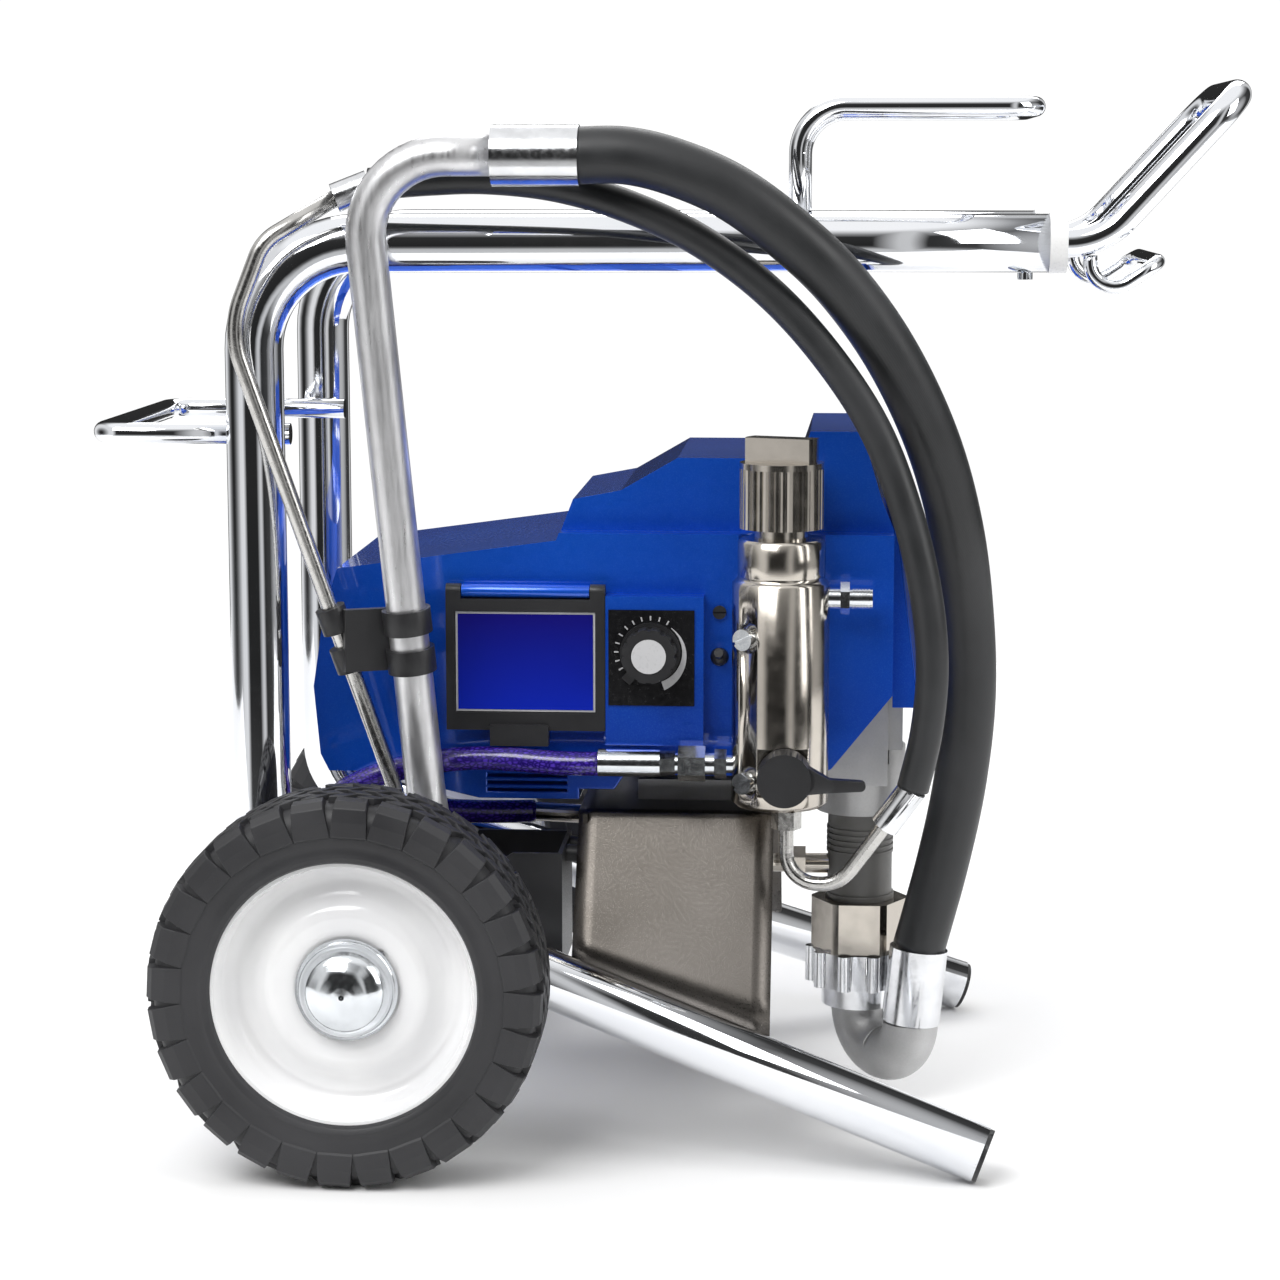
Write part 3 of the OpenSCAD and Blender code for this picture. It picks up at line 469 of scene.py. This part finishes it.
def saddle_mesh():
    """The folded sheet: a level deck, rounded folds and two flanks that flare down to the legs."""
    bm = bmesh.new()
    half = [(0, 216), (60, 216), (88, 216), (93, 215.6), (96.3, 213.8), (97.9, 210.5)]
    columns = 10
    rows = []
    for i in range(columns + 1):
        t = i / columns
        x = -57 + 131 * t
        foot = Vector((154.5 + 21 * t, 129.7 - 45.9 * t))
        fold = Vector(half[-1])
        side = half + [tuple(fold.lerp(foot, k / 6)) for k in range(1, 7)]
        profile = [(-y, z) for y, z in side[:0:-1]] + side
        rows.append([bm.verts.new((x * MM, y * MM, z * MM)) for y, z in profile])
    for here, there in zip(rows, rows[1:]):
        for k in range(len(here) - 1):
            bm.faces.new((here[k], there[k], there[k + 1], here[k + 1])).smooth = True
    notch = [(-42 + 15 * cos(a), 204 + 15 * sin(a)) for a in (radians(37 - 254 * k / 16) for k in range(17))]
    wall = [(-100, 172), (100, 172), (100, 214)] + notch + [(-100, 214)]
    bm.faces.new([bm.verts.new((-54 * MM, y * MM, z * MM)) for y, z in wall[::-1]])
    mesh = bpy.data.meshes.new("saddle_sheet")
    bm.to_mesh(mesh)
    bm.free()
    return mesh


sheet = link("saddle_sheet", saddle_mesh(), "cart", "saddle_steel", LOOKS["saddle_steel"], "saddle")
thickness = sheet.modifiers.new("thickness", "SOLIDIFY")
thickness.thickness = 3 * MM
thickness.offset = -1


# ---- Door plate and dial marks ----

def plate(name, outlines, back, front, body, slot, material):
    """Flat shapes outlined in X and Z and given a small thickness along Y, all in millimetres."""
    bm = bmesh.new()
    for outline in outlines:
        add_block(bm, [(x, back, z) for x, z in outline], [(x, front, z) for x, z in outline])
    bmesh.ops.recalc_face_normals(bm, faces=bm.faces)
    bmesh.ops.scale(bm, vec=(MM, MM, MM), verts=bm.verts)
    mesh = bpy.data.meshes.new(name)
    bm.to_mesh(mesh)
    bm.free()
    return link(name, mesh, body, slot, material)


def around_dial(radius, degrees):
    return (-8 + radius * cos(radians(degrees)), 326 + radius * sin(radians(degrees)))


def add_block(bm, low, high):
    """A block from two matching loops of points, with a face on top and around."""
    rings = [[bm.verts.new(p) for p in loop] for loop in (low, high)]
    count = len(low)
    bm.faces.new(rings[0][::-1])
    bm.faces.new(rings[1])
    for k in range(count):
        j = (k + 1) % count
        bm.faces.new((rings[0][k], rings[0][j], rings[1][j], rings[1][k]))


def rectangle(x0, z0, x1, z1):
    return [(x0, z0), (x1, z0), (x1, z1), (x0, z1)]


def door_print():
    """Deep blue gloss, brighter towards the bottom."""
    m = Nodes("door_print")
    split = m.add("ShaderNodeSeparateXYZ")
    m.join(m.place, split.inputs[0])
    height = m.add("ShaderNodeMapRange")
    height.inputs["From Min"].default_value = 0.286
    height.inputs["From Max"].default_value = 0.35
    m.join(split.outputs["Z"], height.inputs["Value"])
    tones = [(0.0, (0.005, 0.02, 0.42)), (0.6, (0.006, 0.012, 0.26)), (1.0, (0.008, 0.006, 0.16))]
    fade = m.ramp(height.outputs["Result"], tones)
    m.set(Base_Color=fade, Roughness=m.ramp(m.noise(200), [(0.3, 0.1), (0.7, 0.16)]))
    return m.material


SILVER_PRINT = moulded("silver_print", (0.5, 0.5, 0.51), (0.62, 0.62, 0.63), 0.3, 400.0, 0.05)
PANEL = -106.02
plate("door_border", [rectangle(-138, 284.5, -45, 351.5)], PANEL, PANEL - 0.48, "display_door",
      "white_plastic", SILVER_PRINT)
plate("door_plate", [rectangle(-136.6, 285.9, -46.4, 350.1)], PANEL - 0.48, PANEL - 0.98, "display_door",
      "blue_cover", door_print())
TICK_IN, TICK_OUT, TICK_HALF = 21.2, 24.2, 1.2
ticks = [[around_dial(r, a + s * TICK_HALF)
          for r, s in ((TICK_IN, -1), (TICK_OUT, -1), (TICK_OUT, 1), (TICK_IN, 1))] for a in range(60, 226, 15)]
arc_inside = [around_dial(21, 50 - 6 * k) for k in range(21)]
arc_outside = [around_dial(21.4 + 0.28 * k, 50 - 6 * k) for k in range(21)]
plate("dial_marks", ticks + [arc_inside + arc_outside[::-1]], -110.22, -110.5, "cart",
      "white_plastic", SILVER_PRINT)
plate("dial_disc", [[around_dial(11.4, 7.5 * k) for k in range(48)]], -130.02, -130.5, "dial",
      "white_plastic", SILVER_PRINT)


# ---- Tyres ----

WHEEL = Vector((-193, -222, 127))
SIDEWALL = [(85, 28), (86.5, 31.5), (90, 33), (93, 31.8), (97, 32.6), (105, 33.6), (113, 32.4),
            (118.5, 29.5), (121.5, 25), (123, 17), (123.4, 8)]
LUGS = 28
BLOCKS = 44


def polar(angle, radius, y):
    """A point of a wheel, from its angle, radius and place across the tread, in millimetres."""
    return (radius * cos(angle), y, radius * sin(angle))


def tread_block(bm, angle, y, slant):
    """A leaning tread block, drawn in a little at its top."""
    half_angle, half_width = radians(2.75), 4.9

    def loop(radius, shrink):
        corners = [(-1, -1), (1, -1), (1, 1), (-1, 1)]
        return [polar(angle + shrink * half_angle * a + slant * w * half_angle, radius,
                      y + shrink * half_width * w) for a, w in corners]

    add_block(bm, loop(121, 1.0), loop(126.8, 0.86))


def shoulder_lug(bm, angle, side):
    """A lug over the shoulder, wider towards the rim so that the gaps are V notches."""
    stations = [(126.6, 21, 4.4), (125.4, 28.5, 4.6), (121.5, 33.4, 4.9), (113, 34.9, 5.6), (103.5, 34.4, 6.35)]
    outer, inner = [], []
    for r, y, half in stations:
        outer.append([bm.verts.new(polar(angle + s * radians(half), r, side * y)) for s in (-1, 1)])
        inner.append([bm.verts.new(polar(angle + s * radians(half + 0.5), r - 5, side * (y - 5)))
                      for s in (-1, 1)])
    for a, b in zip(range(4), range(1, 5)):
        bm.faces.new((outer[a][0], outer[a][1], outer[b][1], outer[b][0]))
        bm.faces.new((inner[a][0], inner[b][0], inner[b][1], inner[a][1]))
        for k in (0, 1):
            bm.faces.new((outer[a][k], outer[b][k], inner[b][k], inner[a][k]))
    for end in (0, 4):
        bm.faces.new((outer[end][0], inner[end][0], inner[end][1], outer[end][1]))


def tyre_mesh(name, centre):
    """Carcass, four rows of leaning blocks and a row of lugs on each shoulder."""
    bm = bmesh.new()
    profile = [(r, -y) for r, y in SIDEWALL] + [(r, y) for r, y in SIDEWALL[::-1]] + [(85, 20), (85, -20)]
    turns = 144
    rings = [[bm.verts.new(polar(TURN * i / turns, r, y)) for r, y in profile] for i in range(turns)]
    for i in range(turns):
        here, there = rings[i], rings[(i + 1) % turns]
        for k in range(len(profile)):
            j = (k + 1) % len(profile)
            bm.faces.new((here[k], there[k], there[j], here[j])).smooth = True
    for i in range(BLOCKS):
        for row, y in enumerate((-15.6, -5.2, 5.2, 15.6)):
            tread_block(bm, TURN * (i + 0.5 * (row % 2)) / BLOCKS, y, 0.55 if row % 2 else -0.55)
    for i in range(LUGS):
        for side in (-1, 1):
            shoulder_lug(bm, TURN * (i + 0.25 * side) / LUGS, side)
    bmesh.ops.recalc_face_normals(bm, faces=bm.faces)
    bmesh.ops.transform(bm, matrix=Matrix.Translation(centre * MM) @ Matrix.Scale(MM, 4), verts=bm.verts)
    mesh = bpy.data.meshes.new(name)
    bm.to_mesh(mesh)
    bm.free()
    return mesh


for side, sign in (("near", 1), ("far", -1)):
    centre = Vector((WHEEL.x, sign * WHEEL.y, WHEEL.z))
    tread = link(f"tread_{side}", tyre_mesh(f"tread_{side}", centre), f"{side}_wheel", "tyre_rubber",
                 LOOKS["tyre_rubber"], f"tyre_{side}")
    edges = tread.modifiers.new("edges", "BEVEL")
    edges.width = 0.5 * MM
    edges.segments = 2
    edges.angle_limit = radians(35)


# ---- Floor, light and surroundings ----

def make_floor():
    mesh = bpy.data.meshes.new("floor")
    half = 1.9
    mesh.from_pydata([(-half, -0.9, 0), (half, -0.9, 0), (half, half, 0), (-half, half, 0)], [], [(0, 1, 2, 3)])
    floor = bpy.data.objects.new("floor", mesh)
    bpy.context.collection.objects.link(floor)
    floor.location.z = -0.0005
    look = Nodes("pale_floor")
    look.set(Base_Color=(0.93, 0.93, 0.93), Roughness=0.75)
    floor.data.materials.append(look.material)


def area_light(name, place, target, size, power):
    data = bpy.data.lights.new(name, "AREA")
    data.shape = "RECTANGLE"
    data.size, data.size_y = size
    data.energy = power
    light = bpy.data.objects.new(name, data)
    light.location = place
    aim = Vector(target) - Vector(place)
    light.rotation_euler = aim.to_track_quat("-Z", "Y").to_euler()
    bpy.context.collection.objects.link(light)


def make_world():
    """A white studio for the eye; reflections see a dark band above the horizon and a bright top."""
    world = bpy.data.worlds.new("studio")
    bpy.context.scene.world = world
    world.use_nodes = True
    tree = world.node_tree
    background = tree.nodes["Background"]
    new = tree.nodes.new
    place = new("ShaderNodeTexCoord")
    split = new("ShaderNodeSeparateXYZ")
    tree.links.new(place.outputs["Generated"], split.inputs[0])
    height = new("ShaderNodeMapRange")
    height.inputs["From Min"].default_value = -1
    tree.links.new(split.outputs["Z"], height.inputs["Value"])
    band = new("ShaderNodeValToRGB")
    fill_ramp(band, [(0.0, 0.7), (0.30, 0.55), (0.37, 0.1), (0.42, 0.02), (0.70, 0.03), (0.79, 0.3), (0.9, 1.0)])
    tree.links.new(height.outputs["Result"], band.inputs["Fac"])
    width = new("ShaderNodeMapRange")
    width.inputs["From Min"].default_value = -1
    tree.links.new(split.outputs["X"], width.inputs["Value"])
    panels = new("ShaderNodeValToRGB")
    fill_ramp(panels, [(0.0, 0.0), (0.09, 0.75), (0.17, 0.8), (0.26, 0.0), (0.6, 0.0), (0.7, 0.6), (0.74, 0.62),
                       (0.8, 0.03), (0.93, 0.05), (1.0, 0.5)])
    tree.links.new(width.outputs["Result"], panels.inputs["Fac"])
    room = new("ShaderNodeMix")
    room.data_type = "RGBA"
    room.blend_type = "LIGHTEN"
    room.inputs[0].default_value = 1
    tree.links.new(band.outputs["Color"], room.inputs[6])
    tree.links.new(panels.outputs["Color"], room.inputs[7])
    path = new("ShaderNodeLightPath")
    mix = new("ShaderNodeMix")
    mix.data_type = "RGBA"
    tree.links.new(path.outputs["Is Camera Ray"], mix.inputs[0])
    tree.links.new(room.outputs[2], mix.inputs[6])
    mix.inputs[7].default_value = (1, 1, 1, 1)
    tree.links.new(mix.outputs[2], background.inputs["Color"])
    background.inputs["Strength"].default_value = 1.05


bpy.context.scene.view_settings.view_transform = "Standard"
make_floor()
make_world()
area_light("key_softbox", (-1.2, -2.0, 2.6), (0, 0, 0.35), (2.2, 1.6), 72)
area_light("side_softbox", (2.6, -1.2, 1.5), (0.1, 0, 0.4), (1.4, 2.0), 32)
area_light("back_softbox", (0.2, 2.4, 2.6), (0, 0, 0.4), (2.6, 1.4), 44)
